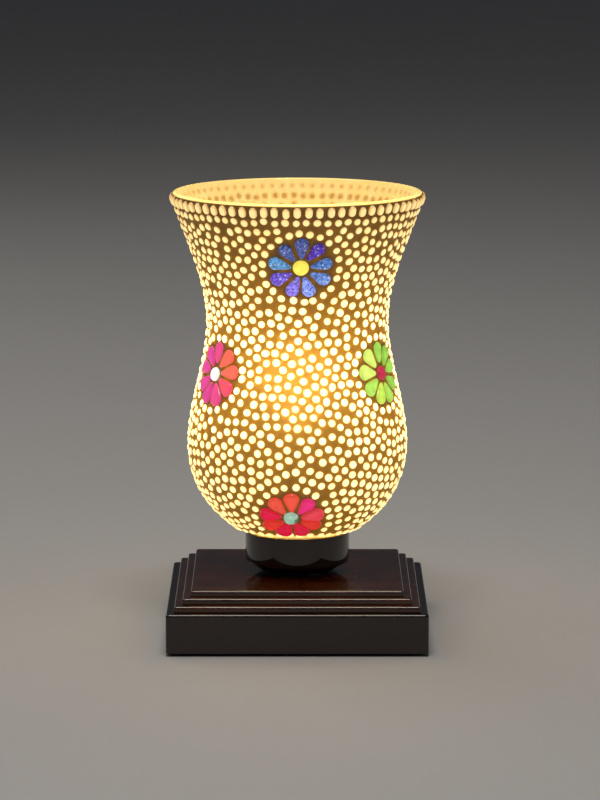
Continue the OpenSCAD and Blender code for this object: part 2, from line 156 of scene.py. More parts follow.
# the separate solids of a CAD node, as arrays of points
def solidsOf(nodeName):
    bm = bmesh.new()
    bm.from_mesh(nodes[nodeName].data)
    bmesh.ops.remove_doubles(bm, verts=bm.verts, dist=1e-6)
    seen, found = set(), []
    for start in bm.verts:
        if start.index in seen:
            continue
        stack, group = [start], []
        seen.add(start.index)
        while stack:
            v = stack.pop()
            group.append(v.co[:])
            for e in v.link_edges:
                other = e.other_vert(v)
                if other.index not in seen:
                    seen.add(other.index)
                    stack.append(other)
        found.append(np.array(group))
    bm.free()
    return found


# material helpers


class Finish:
    def __init__(self, name):
        self.material = bpy.data.materials.new(name)
        self.material.use_nodes = True
        self.tree = self.material.node_tree
        self.shader = self.tree.nodes["Principled BSDF"]
        self.coords = self.add("ShaderNodeTexCoord").outputs["Object"]

    def add(self, kind, **props):
        node = self.tree.nodes.new(kind)
        for key, value in props.items():
            setattr(node, key, value)
        return node

    def link(self, source, target):
        self.tree.links.new(source, target)
        return target

    def set(self, **values):
        for key, value in values.items():
            self.shader.inputs[key.replace("_", " ")].default_value = value

    def into(self, socket, source):
        self.link(source, self.shader.inputs[socket])

    def stretched(self, scale):
        node = self.add("ShaderNodeMapping")
        node.inputs["Scale"].default_value = scale
        self.link(self.coords, node.inputs["Vector"])
        return node.outputs["Vector"]

    def noise(self, scale, detail=4.0, rough=0.55, vector=None, distortion=0.0):
        node = self.add("ShaderNodeTexNoise")
        node.inputs["Scale"].default_value = scale
        node.inputs["Detail"].default_value = detail
        node.inputs["Roughness"].default_value = rough
        node.inputs["Distortion"].default_value = distortion
        self.link(vector or self.coords, node.inputs["Vector"])
        return node.outputs["Fac"]

    def ramp(self, source, stops):
        node = self.add("ShaderNodeValToRGB")
        ramp = node.color_ramp
        while len(ramp.elements) < len(stops):
            ramp.elements.new(0.5)
        for element, (place, colour) in zip(ramp.elements, stops):
            element.position = place
            element.color = (*colour, 1)
        self.link(source, node.inputs["Fac"])
        return node.outputs["Color"]

    def maths(self, operation, a, b=None, c=None, clamp=False):
        node = self.add("ShaderNodeMath", operation=operation, use_clamp=clamp)
        for socket, value in zip(node.inputs, (a, b, c)):
            if value is None:
                continue
            if isinstance(value, (int, float)):
                socket.default_value = value
            else:
                self.link(value, socket)
        return node.outputs[0]

    def mixed(self, factor, a, b, blend="MIX"):
        node = self.add("ShaderNodeMix", data_type="RGBA", blend_type=blend)
        for socket, value in ((node.inputs[0], factor), (node.inputs[6], a), (node.inputs[7], b)):
            if isinstance(value, (int, float)):
                socket.default_value = value
            elif isinstance(value, tuple):
                socket.default_value = (*value, 1)
            else:
                self.link(value, socket)
        return node.outputs[2]

    def mapped(self, source, fromLow, fromHigh, toLow, toHigh):
        node = self.add("ShaderNodeMapRange")
        ends = {"From Min": fromLow, "From Max": fromHigh, "To Min": toLow, "To Max": toHigh}
        for key, value in ends.items():
            node.inputs[key].default_value = value
        self.link(source, node.inputs["Value"])
        return node.outputs["Result"]

    def attribute(self, name):
        return self.add("ShaderNodeAttribute", attribute_name=name).outputs["Fac"]

    def distanceTo(self, place):
        node = self.add("ShaderNodeVectorMath", operation="DISTANCE")
        node.inputs[1].default_value = place
        self.link(self.coords, node.inputs[0])
        return node.outputs["Value"]

    def bump(self, height, strength, distance):
        node = self.add("ShaderNodeBump")
        node.inputs["Strength"].default_value = strength
        node.inputs["Distance"].default_value = distance
        self.link(height, node.inputs["Height"])
        self.into("Normal", node.outputs["Normal"])


# the bulb's light

glow = {
    "reference": 0.060,  # distance from the bulb at which a colour shows at its full strength
    "ambient": 0.12,  # share of the light that comes round by reflection, everywhere alike
}
bulbLow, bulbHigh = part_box("bulb_glass")
globeR = (bulbHigh.x - bulbLow.x) / 2
bulbCentre = Vector((0, 0, bulbHigh.z - globeR))


# painted glow: how brightly the bulb lights a point from inside, fed to the emission of shade parts that are
# no lamp: the square law, plus a little ambient
def lampLight(finish, ambient=glow["ambient"]):
    d = finish.distanceTo(bulbCentre)
    near = finish.maths("DIVIDE", glow["reference"], d)
    square = finish.maths("MULTIPLY", near, near)
    return finish.maths("MULTIPLY_ADD", square, 1 - ambient, ambient)


# shade outline, read from the glass

shade = {
    "around": 400,  # divisions round the grout
    "stations": 158,  # divisions up the wall
    "rings": 86,  # divisions where the glass and the grout lie on each other
    "glassAround": 350,
    "innerRings": 160,
    "groutOut": 1.35 * mm,  # grout over the glass
    "lip": 0.5 * mm,
}


def castTree(nodeName):
    bm = bmesh.new()
    bm.from_mesh(nodes[nodeName].data)
    tree = BVHTree.FromBMesh(bm)
    bm.free()
    return tree


def radiusAt(tree, z, turn, inward):
    out = Vector((math.cos(turn), math.sin(turn), 0))
    start = out * (0.2 if inward else 0.0) + Vector((0, 0, z))
    hit = tree.ray_cast(start, -out if inward else out)[0]
    return hit.xy.length if hit else None


# samples the wall every few millimetres, then smooths away the flats of the CAD's rings
def readWall(tree, low, high, inward, count=160):
    zs = np.linspace(low, high, count)
    rs = np.array([radiusAt(tree, z, 0.5, inward) for z in zs])
    for _ in range(40):
        rs[1:-1] = (rs[:-2] + 2 * rs[1:-1] + rs[2:]) / 4
    return rs, zs


glassTree = castTree("shade_glass")
glassLow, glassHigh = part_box("shade_glass")
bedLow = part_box("mosaic_bed")[0]
cupLow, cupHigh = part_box("shade_cup")
outerR, outerZ = readWall(glassTree, bedLow.z + 2.3 * mm, glassHigh.z - 1.1 * mm, True)
innerR, innerZ = readWall(glassTree, bedLow.z + 4.8 * mm, glassHigh.z - 0.3 * mm, False)


# a wall as even steps of length: (radius, z, lean) at a distance s up the wall
class Wall:
    def __init__(self, r, z):
        step = np.hypot(np.diff(r), np.diff(z))
        self.s = np.concatenate(([0], np.cumsum(step)))
        self.r, self.z = r, z
        self.length = self.s[-1]
        self.dr = np.gradient(r, self.s)
        self.dz = np.gradient(z, self.s)

    def at(self, s):
        pick = [np.interp(s, self.s, column) for column in (self.r, self.z, self.dr, self.dz)]
        return pick

    # points over the wall: s up the wall, a round it, h above it
    def points(self, s, a, h):
        r, z, dr, dz = self.at(s)
        size = np.hypot(dr, dz)
        nr, nz = dz / size, -dr / size
        rr = r + nr * h
        return np.stack((rr * np.cos(a), rr * np.sin(a), z + nz * h), -1)

    def normals(self, s, a):
        r, z, dr, dz = self.at(s)
        size = np.hypot(dr, dz)
        return np.stack((dz / size * np.cos(a), dz / size * np.sin(a), -dr / size), -1)


wall = Wall(outerR, outerZ)
innerWall = Wall(innerR, innerZ)


# where a point in space sits on the wall: distance up it and angle round it
def onWall(point):
    spot = Vector(point)
    near = np.argmin((wall.r - spot.xy.length) ** 2 + (wall.z - spot.z) ** 2)
    return wall.s[near], math.atan2(spot.y, spot.x)


print("shade wall", round(wall.length * 1000, 1), "mm long")

# flowers and rim stones

stone = {
    "sunk": 0.9 * mm,  # how far a stone's wall goes down into the grout
    "turnBy": 2.5,  # degrees of hand-laying
    "shiftBy": 0.25 * mm,
    "sizeBy": 0.05,
    "buttonHeight": 2.9 * mm,
    "rimHeight": 2.35 * mm,
}
# share of the outline and share of the height, from the edge up to the crown
domeRings = ((1.0, -0.9), (1.0, 0.0), (1.0, 0.30), (0.965, 0.55), (0.90, 0.74), (0.78, 0.87),
             (0.60, 0.95), (0.36, 0.99))
rng = np.random.default_rng(41)


# one domed stone over each solid of a CAD node, clockwise from the top of a flower
def domedStones(name, nodeName, height, along=1.0, across=1.0, colours=None, loose=1.0, pearly=False):
    verts, faces, paint, edgeShare, outlines = [], [], [], [], []
    solids = solidsOf(nodeName)
    low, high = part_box(nodeName)
    heart = (low + high) / 2
    s, a = onWall(heart)
    out = Vector(wall.normals(np.array(s), np.array(a)))
    right = Vector((0, 0, 1)).cross(out).normalized()
    upward = out.cross(right)

    def clock(points):
        away = Vector(points.mean(0)) - heart
        if colours is None:
            return math.atan2(points.mean(0)[1], points.mean(0)[0])
        return (math.atan2(away.dot(right), away.dot(upward)) + 0.35) % (2 * math.pi)

    solids.sort(key=clock)
    for index, pts in enumerate(solids):
        s, a = onWall(pts.mean(0))
        up = Vector(wall.normals(np.array(s), np.array(a)))
        heights = pts @ np.array(up)
        flat = pts[heights < (heights.min() + heights.max()) / 2]
        axes = np.linalg.svd(flat - flat.mean(0))[2]
        normal = Vector(axes[2])
        if normal.dot(up) < 0:
            normal = -normal
        origin, x = Vector(flat.mean(0)), Vector(axes[0]).normalized()
        y = normal.cross(x)
        flatAway = [Vector(p) - origin for p in flat]
        places = {(round(away.dot(x), 7), round(away.dot(y), 7)) for away in flatAway}
        ring = np.array(sorted(places, key=lambda q: math.atan2(q[1], q[0])))
        ring = ring[np.hypot(ring[:, 0], ring[:, 1]) > 0.4 * mm]
        size = 1 + rng.uniform(-1, 1) * stone["sizeBy"] * loose
        ring = ring * (along * size, across * size * (1 + rng.uniform(-0.04, 0.04) * loose))
        spin = math.radians(rng.normal(0, stone["turnBy"]) * loose)
        c, sn = math.cos(spin), math.sin(spin)
        ring = ring @ np.array(((c, sn), (-sn, c))) + rng.normal(0, 1, 2) * stone["shiftBy"] * loose
        middle = ring.mean(0)
        tall = height * (1 + rng.uniform(-0.06, 0.06))
        colour = fromScreen(tints[colours[index % len(colours)]]) if colours else (1, 1, 1)
        count, base = len(ring), len(verts)
        for share, lift in domeRings:
            rise = -stone["sunk"] if lift < 0 else lift * tall
            for q in ring:
                p = middle + (q - middle) * share
                angle = math.atan2(*(q - middle))
                wobble = 1 + 0.10 * math.sin(3.0 * angle + 2) if pearly and 0 < share < 0.95 else 1.0
                darkSide = 0.25 if pearly and share > 0.5 and 3.4 < angle % (2 * math.pi) < 4.6 else 1.0
                verts.append(origin + x * p[0] + y * p[1] + normal * rise * wobble)
                paint.append(tuple(v * darkSide for v in colour))
                edgeShare.append(1.4 if lift < 0 else share)
        verts.append(origin + x * middle[0] + y * middle[1] + normal * tall)
        paint.append(colour)
        edgeShare.append(0.0)
        for i in range(len(domeRings) - 1):
            for k in range(count):
                n = (k + 1) % count
                under, over = base + i * count, base + (i + 1) * count
                faces.append((under + k, under + n, over + n, over + k))
        lastRing, top = base + (len(domeRings) - 1) * count, len(verts) - 1
        faces += [(lastRing + k, lastRing + (k + 1) % count, top) for k in range(count)]
        faces.append(tuple(base + k for k in reversed(range(count))))
        outlines += [origin + x * q[0] + y * q[1] for q in ring]
    piece = newPiece(name, verts, faces, smoothAngle=50)
    storeColours(piece, "stoneColour", paint)
    storeFloats(piece, "rimShare", edgeShare)
    return piece, outlines


# screen colours of the glass
tints = {
    "slate": (76, 92, 164), "violet": (88, 52, 184), "cobalt": (82, 122, 194), "cornflower": (104, 138, 214),
    "periwinkle": (124, 142, 228), "lilac": (128, 112, 218), "purple": (112, 86, 208), "sky": (92, 152, 208),
    "rose": (224, 76, 134), "coral": (239, 104, 84), "salmon": (232, 82, 104), "fuchsia": (217, 72, 148),
    "leaf": (150, 203, 79), "moss": (141, 193, 74), "lime": (166, 214, 87), "citron": (190, 222, 84),
    "pale": (203, 230, 107),
    "vermilion": (240, 83, 64), "magenta": (235, 42, 122), "raspberry": (235, 70, 82),
    "scarlet": (236, 59, 49),
    "cherry": (232, 31, 72), "lemon": (250, 232, 92), "milk": (250, 250, 244), "crimson": (208, 52, 82),
    "aqua": (176, 222, 196),
}
# petals are named clockwise from the top one
flowerKinds = {
    "blue": {"height": 2.15 * mm, "along": 0.98, "across": 1.0, "buttonScale": 1.0, "button": "lemon",
             "petals": "slate violet cobalt cornflower periwinkle lilac purple sky slate"},
    "pink": {"height": 2.3 * mm, "along": 1.0, "across": 1.12, "buttonScale": 0.92, "button": "milk",
             "petals": "rose coral coral salmon rose fuchsia fuchsia fuchsia fuchsia"},
    "lime": {"height": 2.2 * mm, "along": 1.0, "across": 1.12, "buttonScale": 0.92, "button": "crimson",
             "petals": "leaf moss leaf moss lime citron lime pale pale"},
    "red": {"height": 2.4 * mm, "along": 0.97, "across": 1.14, "buttonScale": 0.98, "button": "aqua",
            "petals": "vermilion magenta raspberry scarlet cherry cherry scarlet cherry vermilion"},
}
flowers = {"high_front": "blue", "high_right": "pink", "high_left": "lime",
           "mid_right": "lime", "mid_rear": "blue", "mid_left": "pink",
           "low_front": "red", "low_right": "blue", "low_left": "lime"}
petalSlots = {"blue": "blue_petal", "pink": "pink_petal", "lime": "lime_petal", "red": "red_petal"}
buttonSlots = {"blue": "yellow_button", "pink": "white_button", "lime": "crimson_button",
               "red": "aqua_button"}

petalPieces, buttonPieces, stoneEdges = {}, {}, []
for level, kindName in flowers.items():
    kind = flowerKinds[kindName]
    petalPieces[level], edge = domedStones("petals_" + level + "_glass", "petals_" + level, kind["height"],
                                           kind["along"], kind["across"], kind["petals"].split())
    stoneEdges += edge
    wide = kind["buttonScale"]
    buttonPieces[level], edge = domedStones("button_" + level + "_glass", "centre_" + level,
                                            stone["buttonHeight"], wide, wide, (kind["button"],),
                                            pearly=kindName == "red")
    stoneEdges += edge
rimPiece, rimEdges = domedStones("rim_row_beads", "rim_beads", stone["rimHeight"], 1.08, 1.04, loose=0.7)
print("stones laid,", len(stoneEdges), "edge points")

# bead field

bead = {
    "pitch": 5.6 * mm,  # distance that neighbours settle to
    "width": 4.45 * mm,
    "height": 1.15 * mm,  # over the middle of the bead
    "sizeBy": 0.06,
    "sides": 12,
    "bands": 5,
    "belowRim": 9.2 * mm,  # first row of round beads, below the end of the wall
    "overCup": 1.6 * mm,  # lowest row, above the start of the wall
    "ringGap": 2.9 * mm,  # from a flower's petal tips to the ring of beads round it
    "room": 0.79,  # share of the pitch that a new bead needs round it
    "closest": 0.79,  # share of the pitch under which a bead is taken out again
    "tries": 30000,
    "rounds": 9,
    "seed": 7,
}


def flowerRadius():
    low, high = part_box("petals_high_front")
    return (high.x - low.x) / 2


# places for every bead as (s, a): rows under the rim and over the cup, a ring round each flower,
# and the rest dropped at random, then settled against each other
def layBeads():
    dice = np.random.default_rng(bead["seed"])
    pitch, fixed = bead["pitch"], []
    middles = [onWall(sum(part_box("centre_" + level), Vector()) / 2) for level in flowers]
    topRow = wall.length - bead["belowRim"]
    for s in (topRow, bead["overCup"]):
        count = int(2 * math.pi * wall.at(s)[0] / pitch)
        start = dice.uniform(0, 1)
        fixed += [(s + dice.normal(0, 0.4 * mm), 2 * math.pi * (k + start + dice.normal(0, 0.05)) / count)
                  for k in range(count)]
    ringR = flowerRadius() + bead["ringGap"]
    for s, a in middles:
        count = int(2 * math.pi * ringR / (pitch * 1.02))
        start = dice.uniform(0, 1)
        for k in range(count):
            t = 2 * math.pi * (k + start + dice.normal(0, 0.07)) / count
            far = ringR + dice.normal(0, 0.3 * mm)
            ds = far * math.cos(t)
            if bead["overCup"] + 0.75 * pitch < s + ds < topRow - 0.8 * pitch:
                fixed.append((s + ds, a + far * math.sin(t) / wall.at(s + ds)[0]))
    fixed = np.array(fixed)
    centres = np.array([wall.points(np.array(s), np.array(a), 0) for s, a in middles])
    loose = np.zeros((0, 2))
    for sweep in range(4):
        loose = fillGaps(loose, fixed, centres, dice, bead["tries"] // (1 + sweep))
        loose = settle(loose, fixed, centres)
    loose = fillGaps(loose, fixed, centres, dice, 0)
    return np.concatenate((fixed, loose))


# neighbours closer than the pitch push each other apart along the wall
def settle(loose, fixed, centres):
    pitch = bead["pitch"]
    keepOut = flowerRadius() + bead["ringGap"] + 0.80 * pitch
    low, high = bead["overCup"] + 0.75 * pitch, wall.length - bead["belowRim"] - 0.80 * pitch
    for _ in range(bead["rounds"]):
        everyone = np.concatenate((loose, fixed))
        points = wall.points(everyone[:, 0], everyone[:, 1], 0)
        count = len(loose)
        gap = points[:count, None] - points[None]
        far = np.linalg.norm(gap, axis=2)
        far[np.arange(count), np.arange(count)] = 1
        push = np.clip(pitch - far, 0, None) / np.maximum(far, 1e-6)
        move = (gap * push[:, :, None]).sum(1) * 0.3
        toFlower = points[:count, None] - centres[None]
        reach = np.linalg.norm(toFlower, axis=2)
        move += (toFlower / reach[:, :, None] * np.clip(keepOut - reach, 0, None)[:, :, None]).sum(1) * 0.5
        s, a = loose[:, 0], loose[:, 1]
        r, z, dr, dz = wall.at(s)
        size = np.hypot(dr, dz)
        upWall = np.stack((dr / size * np.cos(a), dr / size * np.sin(a), dz / size), -1)
        roundWall = np.stack((-np.sin(a), np.cos(a), np.zeros_like(a)), -1)
        limit = 0.5 * mm
        ds = np.clip((move * upWall).sum(1), -limit, limit)
        da = np.clip((move * roundWall).sum(1), -limit, limit) / r
        loose = np.stack((np.clip(s + ds, low, high), a + da), -1)
    return loose


# takes out beads that touch, then drops one wherever there is room
def fillGaps(loose, fixed, centres, dice, tries):
    pitch = bead["pitch"]
    low, high = bead["overCup"] + 0.75 * pitch, wall.length - bead["belowRim"] - 0.80 * pitch
    dropped = np.stack((dice.uniform(low, high, tries), dice.uniform(-math.pi, math.pi, tries)), -1)
    places = np.concatenate((loose, dropped))
    spots = wall.points(places[:, 0], places[:, 1], 0)
    keepOut = flowerRadius() + bead["ringGap"] + 0.72 * pitch
    free = np.linalg.norm(spots[:, None] - centres[None], axis=2).min(1) > keepOut
    laid = np.zeros((len(fixed) + 4000, 3))
    count = len(fixed)
    laid[:count] = wall.points(fixed[:, 0], fixed[:, 1], 0)
    keep = []
    for i in np.nonzero(free)[0]:
        least = (bead["closest"] if i < len(loose) else bead["room"]) * pitch
        if ((laid[:count] - spots[i]) ** 2).sum(1).min() > least * least:
            keep.append(places[i])
            laid[count] = spots[i]
            count += 1
    return np.array(keep)


beadPlaces = layBeads()
beadPoints = wall.points(beadPlaces[:, 0], beadPlaces[:, 1], 0)
print("beads laid,", len(beadPlaces))


# a tree that puts one low bead on every point, turned and sized by the points' own attributes
def beadTree(material):
    tree = bpy.data.node_groups.new("beadOnEachPoint", "GeometryNodeTree")
    face = tree.interface
    face.new_socket("Geometry", in_out="INPUT", socket_type="NodeSocketGeometry")
    sockets = {}
    for label, kind, value in (("Bead width", "NodeSocketFloat", bead["width"]),
                               ("Bead height", "NodeSocketFloat", bead["height"]),
                               ("Sides", "NodeSocketInt", bead["sides"]),
                               ("Bands", "NodeSocketInt", bead["bands"])):
        socket = face.new_socket(label, in_out="INPUT", socket_type=kind)
        socket.default_value = value
        sockets[label] = socket.identifier
    face.new_socket("Geometry", in_out="OUTPUT", socket_type="NodeSocketGeometry")
    add, join = tree.nodes.new, tree.links.new
    source, sink = add("NodeGroupInput"), add("NodeGroupOutput")
    ball = add("GeometryNodeMeshUVSphere")
    ball.inputs["Radius"].default_value = 1.0
    join(source.outputs["Sides"], ball.inputs["Segments"])
    join(source.outputs["Bands"], ball.inputs["Rings"])

    def maths(operation, *values):
        node = add("ShaderNodeMath")
        node.operation = operation
        for socket, value in zip(node.inputs, values):
            if isinstance(value, float):
                socket.default_value = value
            else:
                join(value, socket)
        return node.outputs[0]

    half = maths("DIVIDE", source.outputs["Bead width"], 2.0)
    shape = add("ShaderNodeCombineXYZ")
    join(half, shape.inputs["X"])
    join(half, shape.inputs["Y"])
    join(source.outputs["Bead height"], shape.inputs["Z"])
    spot, split = add("GeometryNodeInputPosition"), add("ShaderNodeSeparateXYZ")
    flat, reach = add("ShaderNodeCombineXYZ"), add("ShaderNodeVectorMath")
    reach.operation = "LENGTH"
    join(spot.outputs[0], split.inputs[0])
    join(split.outputs["X"], flat.inputs["X"])
    join(split.outputs["Y"], flat.inputs["Y"])
    join(flat.outputs[0], reach.inputs[0])
    under = maths("LESS_THAN", split.outputs["Z"], -0.5)  # the sunk half counts as beyond the bead's edge
    share = maths("MULTIPLY_ADD", under, 0.4, maths("MAXIMUM", reach.outputs["Value"], under))
    mark = add("GeometryNodeStoreNamedAttribute")
    mark.inputs["Name"].default_value = "rimShare"
    join(ball.outputs["Mesh"], mark.inputs["Geometry"])
    join(share, mark.inputs["Value"])
    press = add("GeometryNodeTransform")
    join(mark.outputs["Geometry"], press.inputs["Geometry"])
    join(shape.outputs[0], press.inputs["Scale"])
    smooth = add("GeometryNodeSetShadeSmooth")
    join(press.outputs["Geometry"], smooth.inputs["Geometry"])
    turn, size = add("GeometryNodeInputNamedAttribute"), add("GeometryNodeInputNamedAttribute")
    for node, label in ((turn, "beadTurn"), (size, "beadSize")):
        node.data_type = "FLOAT_VECTOR"
        node.inputs["Name"].default_value = label
    euler = add("FunctionNodeEulerToRotation")
    join(turn.outputs["Attribute"], euler.inputs["Euler"])
    place = add("GeometryNodeInstanceOnPoints")
    join(source.outputs["Geometry"], place.inputs["Points"])
    join(smooth.outputs["Geometry"], place.inputs["Instance"])
    join(euler.outputs["Rotation"], place.inputs["Rotation"])
    join(size.outputs["Attribute"], place.inputs["Scale"])
    real = add("GeometryNodeRealizeInstances")
    join(place.outputs["Instances"], real.inputs["Geometry"])
    paint = add("GeometryNodeSetMaterial")
    paint.inputs["Material"].default_value = material
    join(real.outputs["Geometry"], paint.inputs["Geometry"])
    join(paint.outputs["Geometry"], sink.inputs["Geometry"])
    return tree, sockets


def scatterBeads(name, places, material):
    dice = np.random.default_rng(bead["seed"] + len(places))
    s, a = places[:, 0], places[:, 1]
    points = wall.points(s, a, shade["groutOut"] - 0.1 * mm)
    ups = wall.normals(s, a)
    holder = newPiece(name + "_points", points, [])
    turns, sizes = [], []
    for up in ups:
        lean = Vector(up) + Vector(dice.normal(0, 0.035, 3))
        base = lean.to_track_quat("Z", "Y").to_matrix()
        spin = Matrix.Rotation(dice.uniform(0, 2 * math.pi), 3, "Z")
        turns.append((base @ spin).to_euler())
        grow = 1 + dice.uniform(-1, 1) * bead["sizeBy"]
        oval = 1 + abs(dice.normal(0, 0.05))
        sizes.append((grow * oval, grow / oval ** 0.5, grow * (1 + dice.uniform(-0.08, 0.08))))
    for label, rows in (("beadTurn", turns), ("beadSize", sizes)):
        layer = holder.data.attributes.new(label, "FLOAT_VECTOR", "POINT")
        layer.data.foreach_set("vector", np.array([tuple(v) for v in rows], np.float32).ravel())
    storeFloats(holder, "tone", dice.uniform(0, 1, len(places)))
    tree, sockets = beadTree(material)
    scatter = holder.modifiers.new("scatter", "NODES")
    scatter.node_group = tree
    scatter[sockets["Bead width"]] = bead["width"]
    scatter[sockets["Bead height"]] = bead["height"]
    scatter[sockets["Sides"]] = bead["sides"]
    scatter[sockets["Bands"]] = bead["bands"]
    evaluated = holder.evaluated_get(bpy.context.evaluated_depsgraph_get())
    mesh = bpy.data.meshes.new_from_object(evaluated)
    piece = bpy.data.objects.new(name, mesh)
    mesh.name = name
    scene.collection.objects.link(piece)
    bpy.data.objects.remove(holder)
    return piece


# glass finishes

# glass lit from inside, its glow painted in as emission: its own colour, cloudy, paler in the middle and
# darker at its edge, where shade is painted in
def litGlass(name, strength, colour=None, edge=0.4, cloudBy=0.2, flecks=None, rough=0.12, own=0.6):
    f = Finish(name)
    if colour:
        paint = f.ramp(f.attribute("tone"), ((0.0, colour[0]), (1.0, colour[1])))
    else:
        paint = f.add("ShaderNodeAttribute", attribute_name="stoneColour").outputs["Color"]
    if flecks:
        grains = f.add("ShaderNodeTexVoronoi", feature="F1")
        grains.inputs["Scale"].default_value = flecks["scale"]
        f.link(f.coords, grains.inputs["Vector"])
        split = f.add("ShaderNodeSeparateColor")
        f.link(grains.outputs["Color"], split.inputs[0])
        bright = f.mapped(split.outputs[0], 0.0, 1.0, flecks["dark"], flecks["light"])
        paint = f.mixed(1.0, paint, bright, "MULTIPLY")
        paint = f.mixed(f.mapped(split.outputs[1], 0.88, 0.95, 0, 0.5), paint, (0.75, 0.85, 1.0))
    cloud = f.noise(330, 4)
    paint = f.mixed(1.0, paint, f.mapped(cloud, 0.3, 0.7, 1 - cloudBy, 1 + cloudBy * 0.5), "MULTIPLY")
    share = f.attribute("rimShare")
    # painted shade: each stone's colour and glow darkened towards its edge
    rim = f.mapped(share, 0.62, 1.0, 0, edge)
    body = f.mixed(rim, paint, f.mixed(1.0, paint, (0.42, 0.24, 0.12), "MULTIPLY"))
    f.into("Base Color", f.mixed(1.0, body, (own, own, own), "MULTIPLY"))
    f.into("Emission Color", body)
    upper = f.mapped(share, 1.02, 1.25, strength, 0.0)  # nothing glows where the grout covers it
    f.into("Emission Strength", f.maths("MULTIPLY", lampLight(f), upper))
    f.set(Roughness=rough, Coat_Weight=0.5, Coat_Roughness=0.05, IOR=1.5)
    f.bump(f.noise(900, 2), 0.12, 0.1 * mm)
    return f.material


creamColours = ((1.0, 0.71, 0.27), (1.0, 0.77, 0.34))
creamBead = litGlass("creamBeadGlass", 3.3, creamColours, edge=0.75, cloudBy=0.05)
glitter = {"scale": 1150, "dark": 0.35, "light": 1.7}
petalFinishes = {
    "blue": litGlass("blueGlitterGlass", 1.75, edge=0.35, flecks=glitter),
    "pink": litGlass("pinkGlass", 1.05, cloudBy=0.12),
    "lime": litGlass("limeGlass", 1.15, cloudBy=0.25),
    "red": litGlass("redGlass", 1.6, cloudBy=0.14),
}
buttonFinishes = {
    "blue": litGlass("yellowButtonGlass", 2.2, edge=0.2),
    "pink": litGlass("whiteButtonGlass", 1.0, edge=0.25, own=0.8),
    "lime": litGlass("crimsonButtonGlass", 0.8),
    "red": litGlass("aquaButtonGlass", 1.35, edge=0.15),
}

for level, kindName in flowers.items():
    finishPiece(petalPieces[level], petalFinishes[kindName], "shade", petalSlots[kindName], "petals_" + level)
    finishPiece(buttonPieces[level], buttonFinishes[kindName], "shade", buttonSlots[kindName],
                "centre_" + level)
storeFloats(rimPiece, "tone", np.full(len(rimPiece.data.vertices), 0.5))
finishPiece(rimPiece, creamBead, "shade", "cream_bead", "rim_beads")

half = wall.length * 0.46
lower = beadPlaces[:, 0] < half
for name, chosen in (("beads_lower", lower), ("beads_upper", ~lower)):
    finishPiece(scatterBeads(name, beadPlaces[chosen], creamBead), creamBead, "shade", "cream_bead")
print("beads set")

# grout and glass

grout = {
    "dip": 0.16 * mm,  # how far the grout sinks between beads
    "climb": 0.30 * mm,  # how far it climbs a bead's side
    "reach": 0.55 * mm,
    "grain": 0.05 * mm,
    "offGlass": 0.05 * mm,
}


def treeOf(points):
    tree = KDTree(len(points))
    for i, p in enumerate(points):
        tree.insert(p, i)
    tree.balance()
    return tree


beadFinder = treeOf(beadPoints)
spotFinder = treeOf(list(beadPoints) + [Vector(p.mean(0)) for p in solidsOf("rim_beads")])
edgeFinder = treeOf([Vector(p) for p in stoneEdges])
rimFinder = treeOf([Vector(p) for p in rimEdges])


# closed shell between two walls: the outer surface with its height, then the inner one back down
def shellPiece(name, around, outerRows, innerRows):
    verts = np.concatenate(outerRows + innerRows)
    rows = len(outerRows) + len(innerRows)
    faces = []
    for i in range(rows):
        n = (i + 1) % rows
        for k in range(around):
            m = (k + 1) % around
            faces.append((i * around + k, i * around + m, n * around + m, n * around + k))
    return newPiece(name, verts, faces, smoothAngle=60)


def makeGrout():
    around, count = shade["around"], shade["stations"]
    turns = 2 * math.pi * np.arange(around) / around
    dice = np.random.default_rng(3)
    rows, near, dark = [], [], []
    for s in np.linspace(0, wall.length, count):
        ss = np.full(around, s)
        flat = wall.points(ss, turns, 0)
        height = np.full(around, shade["groutOut"])
        rowNear, rowDark = np.zeros(around), np.zeros(around)
        for k, p in enumerate(flat):
            toBead = beadFinder.find(p)[2] - bead["width"] / 2
            toEdge = min(edgeFinder.find(p)[2], rimFinder.find(p)[2]) - 0.2 * mm
            gap = min(toBead, toEdge)
            climb = grout["climb"] * math.exp(-max(gap, 0) / grout["reach"])
            height[k] += climb - grout["dip"] * (1 - math.exp(-max(gap, 0) / (1.2 * mm)))
            # nearBead: mask for the painted glow in the grout round each bead
            rowNear[k] = math.exp(-max(toBead, 0) / (0.8 * mm))
            # nearStone: mask for the painted shade in the grout by the stones' edges
            rowDark[k] = math.exp(-max(toEdge, 0) / (1.6 * mm))
        height += dice.normal(0, grout["grain"] * 0.4, around)
        if s < 1.0 * mm or s > wall.length - 0.8 * mm:
            height -= shade["lip"]
        rows.append(wall.points(ss, turns, height))
        near.append(rowNear)
        dark.append(rowDark)
    stops = np.linspace(wall.length, 0, shade["rings"])
    back = [wall.points(np.full(around, s), turns, grout["offGlass"]) for s in stops]
    piece = shellPiece("grout_layer", around, rows, back)
    pad = np.zeros(around * len(back))
    storeFloats(piece, "nearBead", np.concatenate(near + [pad]))
    storeFloats(piece, "nearStone", np.concatenate(dark + [pad]))
    return piece


